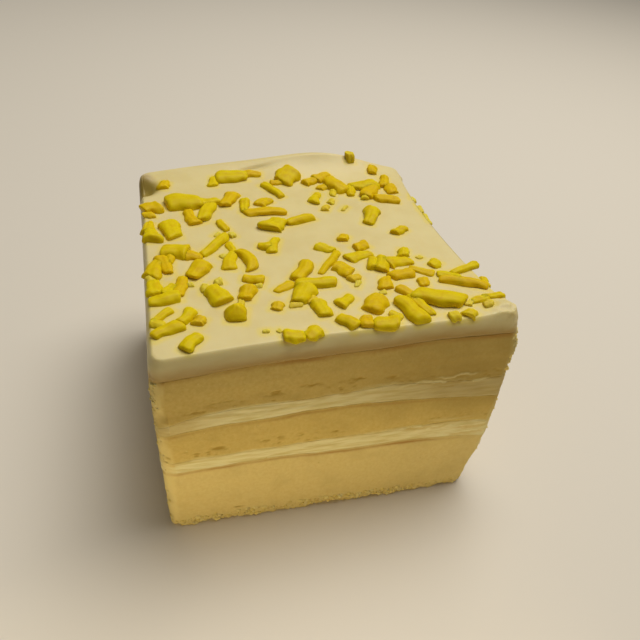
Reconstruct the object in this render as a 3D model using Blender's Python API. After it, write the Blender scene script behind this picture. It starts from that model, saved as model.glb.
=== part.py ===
"""A square piece of layer cake: three sponges, two cream fillings, and icing strewn with shavings.

The piece stands on its flat base, with the front cut face towards -Y and the origin at the middle
of the base. Every layer runs right through the piece. A layer is a closed solid between two uneven
level surfaces, and its side wall follows the cut outline, pressed in by a shallow relief.
"""

import math

import bmesh
import bpy
import numpy as np
from mathutils import Matrix, Vector

MM = 0.001

# ---- driving dimensions, in millimetres ----------------------------------------------------

HEIGHT = 53.0            # base to the level part of the icing
LAYER_GAP = 0.3          # clear gap between neighbouring layers
REACH = 38.0             # half of the piece's nominal width, which scales the level surfaces
PLAN_MIDDLE = (0.58, -0.03)  # middle of the whole piece's extent in the plan, at the origin
CORNER_ROUNDING = 0.08   # corner radius, as a share of REACH
SPONGE_RELIEF = 0.55     # deepest hollow of a sponge's cut side
CREAM_RELIEF = 0.45
ICING_RELIEF = 0.25
CRUMB_EDGE = 0.7         # how far the crumbling lower edge of a sponge is worn back
WEAR_FADE = 4            # how soon that wear fades up the side
RELIEF_TURNS = (3, 7, 12, 19, 26)  # hollows round the whole side, wave by wave
RELIEF_SLANT = 1 / 9     # greatest slant of those waves, in turns for each millimetre of height
SHARP_ANGLE = 40.0       # edges sharper than this many degrees are shaded sharp

# Plan corners from the base up, in the order front left, front right, back right, back left.
# The piece leans out towards its top at the front left, and swells at the front right.
CORNER_HEIGHTS = (0.0, 18.0, 44.0, 53.0)
CORNERS = (
    ((-37.3, -38.4), (-38.2, -39.3), (-39.6, -40.7), (-39.2, -40.6)),
    ((37.0, -39.2), (40.0, -39.6), (40.4, -38.8), (39.1, -37.6)),
    ((37.8, 38.0), (38.4, 38.3), (38.6, 37.8), (37.7, 36.8)),
    ((-36.8, 37.4), (-37.4, 37.8), (-37.7, 38.0), (-37.6, 37.2)),
)

# Outward bow of the front, right, back and left side at the base, half way up and at the top.
BOW_HEIGHTS = (0.0, 26.0, 53.0)
SIDE_BOWS = ((0.0, 0.1, -1.0), (0.3, -0.6, -3.4), (0.3, 1.2, 3.3), (0.2, 0.1, -0.3))

# Level surfaces between the layers: height at the middle, rise along X and Y (mm for each mm),
# sag along X (mm for each square mm), drop at the left and at the right edge, swing of the waves.
LEVELS = {
    "lower_cream_floor": (20.7, -0.017, 0.004, 0.0001, 1.4, 1.7, 0.25),
    "lower_cream_roof": (24.3, 0.013, -0.006, 0.0, 0.9, 2.0, 0.3),
    "upper_cream_floor": (34.4, -0.016, 0.006, 0.0016, 0.8, 0.3, 0.3),
    "upper_cream_roof": (37.9, 0.002, -0.004, 0.0007, 3.0, 0.0, 0.35),
    "icing_floor": (48.3, 0.015, -0.004, 0.0, 0.8, 0.0, 0.2),
}
EDGE_DROP_POWER = 6           # how suddenly a level drops towards an edge
WAVE_LENGTHS = (41.0, 57.0)   # of the waves along X and along Y

# The icing's top: its rounded rim as (inset, drop) steps, then what rises and sinks on it.
RIM = ((0.0, 1.5), (0.35, 0.6), (1.2, 0.1))
BACK_STRIP = (22.0, 16.0)     # where the rise towards the back edge starts, and its width
BACK_RISE = 2.2               # rise along the whole back edge
BACK_LUMP = (14.7, 15.0, 2.5)  # middle along X, half width and height of the lump at the back
DENT = (-37.0, 28.2, 3.2, 2.4)  # x, y, radius and depth of the dent that opens to the left side
BLOB = (36.2, -34.8, 4.2, 1.2)  # x, y, radius and height of the blob at the front right corner
RIPPLE = 0.22

# ---- mesh density --------------------------------------------------------------------------

SIDE_STEPS = 16      # columns along a straight side
ARC_STEPS = 3        # columns round a corner
SPONGE_ROWS = 5
CREAM_ROWS = 2
CAP_RINGS = (0.62,)  # rings inside a hidden level surface, as shares of the outline
TOP_RINGS = (0.93, 0.84, 0.7, 0.52, 0.3)

# ---- topping -------------------------------------------------------------------------------

# Shavings as they lie, drift by drift: x, y, length, width (mm) and heading (degrees from +X).
DRIFTS = {
    "back left": (
        (-31.3, 28.9, 3.8, 2.4, 70), (-35.3, 16.8, 4.8, 3.4, 10), (-27.2, 18.2, 9.0, 4.8, -4),
        (-20.9, 18.4, 5.4, 2.8, 4), (-25.9, 11.2, 7.0, 2.4, -78), (-22.2, 13.0, 8.5, 2.4, 68),
        (-36.3, 7.0, 5.0, 2.2, 85), (-35.9, 2.8, 5.0, 3.0, 98), (-31.5, 5.2, 7.5, 3.6, 100),
    ),
    "left": (
        (-19.0, 6.4, 5.0, 1.6, -72), (-22.2, -2.2, 11.0, 2.0, 52), (-31.2, -4.8, 6.0, 4.2, -12),
        (-27.4, -6.8, 4.2, 2.4, -22), (-27.0, -12.6, 6.8, 3.2, 58), (-36.0, -11.4, 6.0, 2.8, 72),
        (-33.8, -9.8, 6.6, 2.3, -80), (-36.4, -18.0, 5.0, 2.6, 92), (-34.8, -22.4, 6.6, 2.6, 14),
        (-33.4, -19.0, 4.4, 2.2, 62), (-31.4, -18.0, 7.2, 2.2, 72),
    ),
    "front left": (
        (-35.6, -27.6, 5.6, 1.5, 45), (-35.0, -32.4, 6.4, 2.1, 27), (-31.1, -28.4, 5.2, 2.2, 56),
        (-28.8, -30.2, 2.6, 2.2, 60), (-30.8, -36.2, 5.0, 2.2, 48), (-24.0, -22.2, 6.0, 3.4, -68),
        (-21.2, -29.0, 5.2, 3.8, 76), (-17.9, -22.4, 4.6, 2.8, 70), (-19.3, -9.2, 7.4, 2.3, 74),
        (-18.5, -3.4, 4.4, 1.6, -78), (-16.6, -9.6, 8.4, 2.3, -76), (-15.8, -17.2, 4.8, 2.1, -14),
        (-12.7, -27.6, 2.6, 2.2, 66), (-11.4, -37.2, 4.4, 2.5, -14), (-7.6, -37.0, 4.0, 2.4, 36),
    ),
    "back": (
        (-13.2, 31.7, 8.8, 3.2, 2), (-7.2, 33.0, 5.0, 2.0, -12), (-18.2, 30.2, 5.2, 2.0, 78),
        (2.2, 30.5, 6.4, 4.6, 48), (-3.3, 24.2, 8.6, 1.9, -62), (-15.5, 19.2, 7.6, 2.8, 64),
        (-12.2, 15.6, 6.4, 1.9, 80), (-7.8, 12.2, 10.6, 2.5, 2), (-6.9, 17.4, 4.6, 2.4, 38),
        (-6.6, 5.2, 5.6, 4.0, 46), (0.5, 7.4, 8.2, 2.2, 20), (-10.7, -3.9, 3.4, 2.0, -16),
        (-8.5, -3.8, 6.4, 1.9, 70),
    ),
    "back right": (
        (8.0, 28.2, 4.2, 2.2, 26), (12.2, 30.0, 5.4, 2.4, 28), (10.8, 25.0, 3.2, 2.0, 30),
        (15.0, 25.0, 7.6, 3.4, -62), (7.6, 19.2, 6.2, 2.2, 62), (18.2, 22.2, 6.2, 2.0, 76),
        (22.8, 25.0, 8.4, 3.4, 6), (23.0, 20.8, 7.0, 3.2, 56), (29.6, 27.0, 6.4, 2.3, 70),
        (30.0, 22.4, 5.0, 2.8, 84), (26.6, 16.4, 6.8, 2.6, -14), (28.2, 33.4, 3.8, 2.2, 68),
        (11.2, 16.9, 2.8, 1.6, 60), (8.8, 13.4, 2.8, 1.7, 60), (19.0, 7.4, 7.8, 2.8, 62),
        (24.3, -0.2, 4.4, 2.1, 32),
    ),
    "right edge": (
        (35.1, 18.0, 3.0, 1.4, 72), (34.8, 11.8, 4.0, 1.5, 82), (34.6, 6.2, 5.2, 1.4, 88),
    ),
    "middle": (
        (9.0, -2.3, 3.2, 2.1, 60), (3.2, -6.6, 4.4, 2.5, -40), (2.4, -12.6, 10.6, 1.5, 52),
        (4.8, -15.8, 5.0, 3.2, -58), (10.2, -10.8, 7.0, 2.4, 20), (12.0, -6.7, 4.4, 2.5, 30),
        (6.2, -19.4, 3.2, 1.7, 20), (12.3, -14.4, 5.0, 2.2, 70), (-4.8, -15.4, 7.8, 2.7, 55),
        (-9.9, -20.9, 5.2, 1.8, 32), (-2.8, -20.6, 9.4, 2.6, 0), (-6.9, -24.2, 6.6, 3.4, 60),
        (-4.0, -29.6, 5.2, 2.7, -82), (1.9, -27.4, 5.0, 2.3, 38), (0.2, -34.6, 4.8, 2.5, -48),
    ),
    "front right": (
        (14.4, -14.6, 6.4, 2.6, 68), (18.6, -14.2, 6.8, 3.0, 8), (21.6, -10.2, 4.0, 2.2, 66),
        (17.4, -19.4, 5.8, 2.8, 10), (23.0, -18.1, 6.0, 2.0, -32), (12.8, -22.2, 4.6, 2.3, 70),
        (27.4, -15.6, 3.4, 2.3, 42), (21.6, -22.8, 3.2, 2.1, 78), (28.4, -21.8, 6.2, 2.5, -40),
        (30.8, -24.3, 11.0, 2.2, -24), (33.6, -18.6, 8.6, 1.6, 20), (36.2, -24.0, 3.8, 1.9, 80),
        (22.4, -29.4, 11.4, 3.7, -24), (17.8, -31.0, 7.6, 2.0, -72), (14.8, -32.6, 8.8, 2.9, -74),
        (16.6, -26.2, 5.4, 1.9, -50),
        (31.4, -31.0, 4.6, 1.9, 8), (34.8, -30.4, 5.4, 1.6, 4), (32.2, -33.2, 2.4, 1.7, 20),
        (7.8, -29.4, 6.0, 3.6, 50), (11.0, -33.6, 3.2, 1.7, -50), (4.2, -35.0, 3.6, 2.4, 80),
        (8.0, -35.9, 5.8, 2.7, 0), (23.2, -35.9, 2.5, 2.1, 0), (27.0, -35.6, 2.6, 2.2, 30),
    ),
}
SHAVING_THICKNESS = 0.88     # thickness of a shaving that is 1 mm wide
THICKNESS_POWER = 0.6        # a wider one is thicker by its width to this power
TALL_BITS = {(-21.2, -29.0): 3.1}   # by place: thickness of a bit that stands up
SHAVING_SINK = 0.45          # how deep a shaving is pressed into the icing
SHAVING_FULLNESS = 1.16      # a hexagonal bar's width over the width of the shaving it stands for
SHAVING_TAPER = 0.72         # width at a long shaving's ends, as a share of its middle
SHORT_FULLNESS = 0.92        # width of a short shaving over its whole length, as a share
LONG_SHAVING = 7.4           # from this length on a shaving is bent along its length
SHAVING_ARCH = 0.5           # rise of a bent shaving's middle
SHAVING_BEND = 0.08          # sideways bend of a long shaving, as a share of its length
SHAVING_LUMP = 0.1           # unevenness of a shaving's section, as a share of its width
SHAVING_SIDES = 6

# Crumbs that stick to a layer's side, or stand on its edge: x, y, z and diameter.
CRUMBS = {
    "icing_top": (
        (-39.0, -38.6, 49.7, 1.7), (-38.9, -36.0, 49.0, 1.5), (36.7, 32.0, 51.3, 1.6),
        (22.2, 37.6, 56.5, 2.6),
    ),
    "sponge_top": ((39.7, -35.6, 45.2, 2.1), (39.9, -33.9, 43.0, 2.3), (39.8, -36.2, 41.2, 2.0)),
}

# ---- colours -------------------------------------------------------------------------------

SPONGE_COLOUR = (0.50, 0.33, 0.09)
CREAM_COLOUR = (0.62, 0.50, 0.22)
ICING_COLOUR = (0.68, 0.56, 0.27)
SPONGE_ROUGHNESS = 0.9
CREAM_ROUGHNESS = 0.55


def clear_scene():
    """Remove whatever the scene holds."""
    for thing in list(bpy.data.objects):
        bpy.data.objects.remove(thing, do_unlink=True)


def food_material(name, colour, roughness):
    """A plain matt food colour."""
    material = bpy.data.materials.new(name)
    material.use_nodes = True
    shader = material.node_tree.nodes["Principled BSDF"]
    shader.inputs["Base Color"].default_value = (*colour, 1.0)
    shader.inputs["Roughness"].default_value = roughness
    shader.inputs["Metallic"].default_value = 0.0
    return material


# ---- outline and level surfaces ------------------------------------------------------------

def outline_columns():
    """Points round a rounded square that spans -1 to 1, anticlockwise from the front left corner."""
    radius = CORNER_ROUNDING
    straight = 1.0 - radius
    points = []
    for corner in range(4):
        turn = math.radians(90.0 * corner)
        cos, sin = math.cos(turn), math.sin(turn)
        side = [(x, -1.0) for x in np.linspace(-straight, straight, SIDE_STEPS + 1)]
        arc = [math.radians(-90.0 + 90.0 * step / ARC_STEPS) for step in range(1, ARC_STEPS)]
        side += [(straight + radius * math.cos(a), -straight + radius * math.sin(a)) for a in arc]
        points += [(x * cos - y * sin, x * sin + y * cos) for x, y in side]
    return np.array(points)


def outline(unit, height):
    """Place unit square points at a height: blend the four leaning corners, then bow each side."""
    a, b = unit[..., 0], unit[..., 1]
    weights = ((1 - a) * (1 - b), (1 + a) * (1 - b), (1 + a) * (1 + b), (1 - a) * (1 + b))
    x = y = 0.0
    for weight, corner in zip(weights, CORNERS):
        corner_x, corner_y = zip(*corner)
        x = x + weight * np.interp(height, CORNER_HEIGHTS, corner_x) / 4
        y = y + weight * np.interp(height, CORNER_HEIGHTS, corner_y) / 4
    front, right, back, left = (np.interp(height, BOW_HEIGHTS, bow) for bow in SIDE_BOWS)
    x = x + (1 - b**2) * (right * np.clip(a, 0, 1) ** 2 - left * np.clip(-a, 0, 1) ** 2)
    y = y + (1 - a**2) * (back * np.clip(b, 0, 1) ** 2 - front * np.clip(-b, 0, 1) ** 2)
    return x, y


def waves(x, y, phase):
    """Slow waves between -1 and 1 over the plan."""
    along, across = WAVE_LENGTHS
    first = np.sin(2 * np.pi * x / along + phase) * np.cos(2 * np.pi * y / across + 1.7 * phase)
    second = np.sin(2 * np.pi * (x + y) / (0.6 * across) + 2.3 * phase)
    return 0.65 * first + 0.35 * second


def level(name, x, y):
    """Height of the surface between two layers."""
    middle, rise_x, rise_y, sag, left_drop, right_drop, swing = LEVELS[name]
    phase = 1.9 * list(LEVELS).index(name)
    drop = left_drop * np.clip(-x / REACH, 0.0, 1.0) ** EDGE_DROP_POWER
    drop += right_drop * np.clip(x / REACH, 0.0, 1.0) ** EDGE_DROP_POWER
    return middle + rise_x * x + rise_y * y - sag * x**2 - drop + swing * waves(x, y, phase)


def icing_top(x, y):
    """Height of the icing's top: ripples, the rise and lump at the back, the dent and the blob."""
    back = np.clip((y - BACK_STRIP[0]) / BACK_STRIP[1], 0.0, 1.0) ** 3
    lump_x, lump_reach, lump_height = BACK_LUMP
    lump = lump_height * np.exp(-(((x - lump_x) / lump_reach) ** 2))
    rise = BACK_RISE * np.clip(1.0 - (x / REACH) ** 2, 0.0, 1.0)
    from_dent = np.hypot(np.maximum(x - DENT[0], 0.0), y - DENT[1]) / DENT[2]
    dent = DENT[3] * np.exp(-(from_dent**3.2))
    blob = BLOB[3] * np.exp(-((x - BLOB[0]) ** 2 + (y - BLOB[1]) ** 2) / BLOB[2] ** 2)
    return HEIGHT + RIPPLE * waves(x, y, 0.8) + back * (lump + rise) - dent + blob


def relief(column_share, height, seed):
    """Shallow hollows of a cut side between 0 and 1: a sum of seeded waves round the outline."""
    draw = np.random.default_rng(seed)
    total = np.zeros(np.broadcast(column_share, height).shape)
    for turns in RELIEF_TURNS:
        slant = draw.uniform(-RELIEF_SLANT, RELIEF_SLANT)
        phase = draw.uniform(0.0, 2.0 * np.pi)
        total += np.sin(2 * np.pi * (turns * column_share + slant * height) + phase)
    return np.clip(0.5 + total / (len(RELIEF_TURNS) + 1), 0.0, 1.0)


def press_in(x, y, depth):
    """Move wall points straight towards the middle of the piece by a depth."""
    reach = np.hypot(x, y)
    return x * (1 - depth / reach), y * (1 - depth / reach)


# ---- solids --------------------------------------------------------------------------------

def placed(point):
    """A point in millimetres as a vector in metres from the origin."""
    return Vector((point[0] - PLAN_MIDDLE[0], point[1] - PLAN_MIDDLE[1], point[2])) * MM


def ring_solid(name, rings, floor_middle, roof_middle, material):
    """Close a stack of rings, from the middle of the floor out, up and back in to the roof's."""
    count = len(rings[0])
    mesh_data = bmesh.new()
    rows = [[mesh_data.verts.new(placed(point)) for point in ring] for ring in rings]
    ends = [mesh_data.verts.new(placed(point)) for point in (floor_middle, roof_middle)]
    for step in range(count):
        following = (step + 1) % count
        mesh_data.faces.new((ends[0], rows[0][following], rows[0][step]))
        mesh_data.faces.new((ends[1], rows[-1][step], rows[-1][following]))
        for lower, upper in zip(rows, rows[1:]):
            mesh_data.faces.new((lower[step], lower[following], upper[following], upper[step]))
    bmesh.ops.triangulate(mesh_data, faces=list(mesh_data.faces))
    bmesh.ops.recalc_face_normals(mesh_data, faces=list(mesh_data.faces))
    return finish_object(name, mesh_data, material)


def finish_object(name, mesh_data, material):
    """Put a bmesh into the scene as an object, shaded smooth between its sharp edges."""
    mesh = bpy.data.meshes.new(name)
    mesh_data.to_mesh(mesh)
    mesh_data.free()
    mesh.materials.append(material)
    mesh.shade_smooth()
    mesh.set_sharp_from_angle(angle=math.radians(SHARP_ANGLE))
    thing = bpy.data.objects.new(name, mesh)
    bpy.context.scene.collection.objects.link(thing)
    return thing


def wall_ring(unit, height, depth):
    """One ring of the side wall at a height for each column."""
    x, y = outline(unit, height)
    return press_in(x, y, depth)


def cap_ring(share, unit, surface, offset, height):
    """A ring of a level surface, drawn in from the outline at that height."""
    x, y = outline(unit * share, height)
    return np.stack([x, y, surface(x, y) + offset], axis=1)


def layer(name, floor, roof, rows, depth, seed, material, worn_foot=0.0):
    """A layer between two level surfaces, with relief on its side and a worn lower edge."""
    unit = outline_columns()
    share = np.arange(len(unit)) / len(unit)
    x, y = outline(unit, HEIGHT / 2)
    low = floor(x, y)
    high = roof(x, y)
    wall = []
    for row in np.linspace(0.0, 1.0, rows + 1):
        height = low + (high - low) * row
        wear = worn_foot * (1.0 - row) ** WEAR_FADE
        hollow = depth * relief(share, height, seed) + wear * relief(2.0 * share, 0.0, seed + 50)
        x, y = wall_ring(unit, height, hollow)
        wall.append(np.stack([x, y, height], axis=1))
    wall[0][:, 2] = floor(wall[0][:, 0], wall[0][:, 1])
    wall[-1][:, 2] = roof(wall[-1][:, 0], wall[-1][:, 1])
    floor_rings = [cap_ring(size, unit, floor, 0.0, low) for size in CAP_RINGS]
    roof_rings = [cap_ring(size, unit, roof, 0.0, high) for size in CAP_RINGS]
    rings = floor_rings + wall + roof_rings[::-1]
    zero = np.zeros(1)
    floor_middle = (0.0, 0.0, float(floor(zero, zero)[0]))
    roof_middle = (0.0, 0.0, float(roof(zero, zero)[0]))
    return ring_solid(name, rings, floor_middle, roof_middle, material)


def below(name):
    """The underside of a level surface: the roof of the layer that lies under it."""
    return lambda x, y: level(name, x, y) - LAYER_GAP / 2


def above(name):
    """The upper side of a level surface: the floor of the layer that lies on it."""
    return lambda x, y: level(name, x, y) + LAYER_GAP / 2


def flat_base(x, y):
    """The flat face that the piece rests on."""
    return np.zeros_like(x)


def icing_body(material):
    """The icing slab: a smooth cut side, a rounded rim and the uneven top."""
    unit = outline_columns()
    share = np.arange(len(unit)) / len(unit)
    floor = above("icing_floor")
    x, y = outline(unit, HEIGHT)
    low = floor(x, y)
    rings = [cap_ring(size, unit, floor, 0.0, low) for size in CAP_RINGS]
    for row in (0.0, 0.5):
        height = low + (icing_top(x, y) - RIM[0][1] - low) * row
        wall_x, wall_y = wall_ring(unit, height, ICING_RELIEF * relief(share, height, 41))
        rings.append(np.stack([wall_x, wall_y, height], axis=1))
    for inset, drop in RIM:
        rim_x, rim_y = outline(unit * (1.0 - inset / REACH), HEIGHT)
        rings.append(np.stack([rim_x, rim_y, icing_top(rim_x, rim_y) - drop], axis=1))
    for size in TOP_RINGS:
        rings.append(cap_ring(size, unit, icing_top, 0.0, HEIGHT))
    zero = np.zeros(1)
    floor_middle = (0.0, 0.0, float(floor(zero, zero)[0]))
    roof_middle = (0.0, 0.0, float(icing_top(zero, zero)[0]))
    return ring_solid("icing_top", rings, floor_middle, roof_middle, material)


def shaving(number, x, y, length, width, heading):
    """A closed bent bar of flattened hexagonal section that lies on the icing."""
    draw = np.random.default_rng(700 + number)
    width = width * SHAVING_FULLNESS
    thick = TALL_BITS.get((x, y), SHAVING_THICKNESS * width**THICKNESS_POWER)
    stations = 3 if length >= LONG_SHAVING else 2
    along = Vector((math.cos(math.radians(heading)), math.sin(math.radians(heading)), 0.0))
    across = Vector((-along.y, along.x, 0.0))
    bend = draw.uniform(-SHAVING_BEND, SHAVING_BEND) * length
    bar = bmesh.new()
    sections = []
    for place in np.linspace(-0.5, 0.5, stations):
        middle = 1.0 - (2.0 * place) ** 2
        size = SHAVING_TAPER + (1.0 - SHAVING_TAPER) * middle if stations > 2 else SHORT_FULLNESS
        centre = Vector((x, y, 0.0)) + along * (place * length) + across * (bend * middle)
        ground = float(icing_top(np.array([centre.x]), np.array([centre.y]))[0])
        centre.z = ground - SHAVING_SINK + 0.5 * thick * size + SHAVING_ARCH * middle
        ring = []
        for side in range(SHAVING_SIDES):
            angle = 2.0 * math.pi * side / SHAVING_SIDES
            radius = 0.5 * size * (1.0 + draw.uniform(-SHAVING_LUMP, SHAVING_LUMP))
            offset = across * (width * radius * math.cos(angle))
            offset += Vector((0.0, 0.0, thick * radius * math.sin(angle)))
            ring.append(bar.verts.new(placed(centre + offset)))
        sections.append(ring)
    for near, far in zip(sections, sections[1:]):
        for side in range(SHAVING_SIDES):
            following = (side + 1) % SHAVING_SIDES
            bar.faces.new((near[side], near[following], far[following], far[side]))
    bar.faces.new(sections[0][::-1])
    bar.faces.new(sections[-1])
    return bar


def shavings():
    """Every shaving of every drift."""
    rows = [row for drift in DRIFTS.values() for row in drift]
    return [shaving(number, *row) for number, row in enumerate(rows)]


def crumbs(name):
    """The twenty-sided crumbs that stick to a layer."""
    shapes = []
    for x, y, z, diameter in CRUMBS[name]:
        ball = bmesh.new()
        place = Matrix.Translation(placed((x, y, z)))
        bmesh.ops.create_icosphere(ball, subdivisions=1, radius=0.5 * diameter * MM, matrix=place)
        shapes.append(ball)
    return shapes


def fuse(body, shapes):
    """Join every shape to the body with one union of a collection, which is then removed."""
    group = bpy.data.collections.new("fused")
    for number, shape in enumerate(shapes):
        bmesh.ops.triangulate(shape, faces=list(shape.faces))
        bmesh.ops.recalc_face_normals(shape, faces=list(shape.faces))
        piece = finish_object(f"fused_{number:03d}", shape, body.data.materials[0])
        bpy.context.scene.collection.objects.unlink(piece)
        group.objects.link(piece)
    union = body.modifiers.new("fuse", "BOOLEAN")
    union.operation = "UNION"
    union.operand_type = "COLLECTION"
    union.collection = group
    union.solver = "EXACT"
    union.use_self = False
    bpy.context.scene.collection.children.link(group)
    bpy.context.view_layer.update()
    evaluated = body.evaluated_get(bpy.context.evaluated_depsgraph_get())
    fused = bpy.data.meshes.new_from_object(evaluated)
    body.modifiers.clear()
    body.data = fused
    for piece in list(group.objects):
        bpy.data.objects.remove(piece, do_unlink=True)
    bpy.data.collections.remove(group)
    keep_largest(fused)


def keep_largest(mesh):
    """Keep a mesh's largest linked shell: sealed hollows are filled and loose scraps dropped."""
    mesh_data = bmesh.new()
    mesh_data.from_mesh(mesh)
    unseen = set(mesh_data.verts)
    shells = []
    while unseen:
        front = {unseen.pop()}
        shell = set(front)
        while front:
            front = {edge.other_vert(vert) for vert in front for edge in vert.link_edges} - shell
            shell |= front
        unseen -= shell
        shells.append(shell)
    shells.sort(key=len)
    for shell in shells[:-1]:
        bmesh.ops.delete(mesh_data, geom=list(shell), context="VERTS")
    mesh_data.to_mesh(mesh)
    mesh_data.free()


def main():
    """Build the six layers from the base up."""
    clear_scene()
    sponge = food_material("sponge", SPONGE_COLOUR, SPONGE_ROUGHNESS)
    cream = food_material("cream", CREAM_COLOUR, CREAM_ROUGHNESS)
    icing = food_material("icing", ICING_COLOUR, CREAM_ROUGHNESS)
    layer("sponge_bottom", flat_base, below("lower_cream_floor"), SPONGE_ROWS, SPONGE_RELIEF, 11,
          sponge, CRUMB_EDGE)
    layer("cream_lower", above("lower_cream_floor"), below("lower_cream_roof"), CREAM_ROWS,
          CREAM_RELIEF, 12, cream)
    layer("sponge_middle", above("lower_cream_roof"), below("upper_cream_floor"), SPONGE_ROWS,
          SPONGE_RELIEF, 13, sponge, CRUMB_EDGE)
    layer("cream_upper", above("upper_cream_floor"), below("upper_cream_roof"), CREAM_ROWS,
          CREAM_RELIEF, 14, cream)
    top = layer("sponge_top", above("upper_cream_roof"), below("icing_floor"), SPONGE_ROWS,
                SPONGE_RELIEF, 15, sponge, CRUMB_EDGE)
    fuse(top, crumbs("sponge_top"))
    fuse(icing_body(icing), shavings() + crumbs("icing_top"))


main()
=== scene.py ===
"""The looks of a square piece of layer cake: crumb, creams, icing, yellow shavings and crumbs.

Every surface is a function of two parameters, worked out in millimetres as whole numpy arrays in the
same plan as the solids, and put into a mesh in metres from the origin.
"""
import math

import bpy
import numpy as np
from mathutils import Matrix, Vector


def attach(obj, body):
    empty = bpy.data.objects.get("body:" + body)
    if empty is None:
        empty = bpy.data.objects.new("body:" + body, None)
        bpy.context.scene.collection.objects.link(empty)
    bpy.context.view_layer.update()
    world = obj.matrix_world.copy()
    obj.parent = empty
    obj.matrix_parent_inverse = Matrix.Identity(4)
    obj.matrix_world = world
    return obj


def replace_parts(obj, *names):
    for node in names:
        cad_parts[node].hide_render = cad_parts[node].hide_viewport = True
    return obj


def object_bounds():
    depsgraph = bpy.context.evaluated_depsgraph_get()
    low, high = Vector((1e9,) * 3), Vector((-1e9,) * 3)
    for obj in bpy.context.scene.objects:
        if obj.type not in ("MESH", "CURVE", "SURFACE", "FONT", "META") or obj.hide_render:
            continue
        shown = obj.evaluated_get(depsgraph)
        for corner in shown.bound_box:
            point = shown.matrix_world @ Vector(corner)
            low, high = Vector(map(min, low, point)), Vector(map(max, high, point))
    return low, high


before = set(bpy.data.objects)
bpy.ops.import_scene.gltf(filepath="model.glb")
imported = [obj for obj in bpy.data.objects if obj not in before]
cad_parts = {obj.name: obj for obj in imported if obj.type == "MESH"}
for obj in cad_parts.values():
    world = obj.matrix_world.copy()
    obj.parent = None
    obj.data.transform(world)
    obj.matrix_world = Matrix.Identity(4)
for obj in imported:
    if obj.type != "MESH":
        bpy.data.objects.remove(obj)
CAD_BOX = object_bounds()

MM = 0.001

# ---- the piece's form, as in the solids, in millimetres ----

HEIGHT = 53.0
REACH = 38.0
PLAN_MIDDLE = (0.58, -0.03)
CORNER_ROUNDING = 0.08
CORNER_HEIGHTS = (0.0, 18.0, 44.0, 53.0)
CORNERS = (
    ((-37.3, -38.4), (-38.2, -39.3), (-39.6, -40.7), (-39.2, -40.6)),
    ((37.0, -39.2), (40.0, -39.6), (40.4, -38.8), (39.1, -37.6)),
    ((37.8, 38.0), (38.4, 38.3), (38.6, 37.8), (37.7, 36.8)),
    ((-36.8, 37.4), (-37.4, 37.8), (-37.7, 38.0), (-37.6, 37.2)),
)
BOW_HEIGHTS = (0.0, 26.0, 53.0)
SIDE_BOWS = ((0.0, 0.1, -1.0), (0.3, -0.6, -3.4), (0.3, 1.2, 3.3), (0.2, 0.1, -0.3))
LEVELS = {
    "lower_cream_floor": (20.7, -0.017, 0.004, 0.0001, 1.4, 1.7, 0.25),
    "lower_cream_roof": (24.3, 0.013, -0.006, 0.0, 0.9, 2.0, 0.3),
    "upper_cream_floor": (34.4, -0.016, 0.006, 0.0016, 0.8, 0.3, 0.3),
    "upper_cream_roof": (37.9, 0.002, -0.004, 0.0007, 3.0, 0.0, 0.35),
    "icing_floor": (48.3, 0.015, -0.004, 0.0, 0.8, 0.0, 0.2),
}
EDGE_DROP_POWER = 6
WAVE_LENGTHS = (41.0, 57.0)
BACK_STRIP = (22.0, 16.0)
BACK_RISE = 2.2
BACK_LUMP = (14.7, 15.0, 2.5)
DENT = (-37.0, 28.2, 3.2, 2.4)
BLOB = (36.2, -34.8, 4.2, 1.2)
RIPPLE = 0.22

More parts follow.
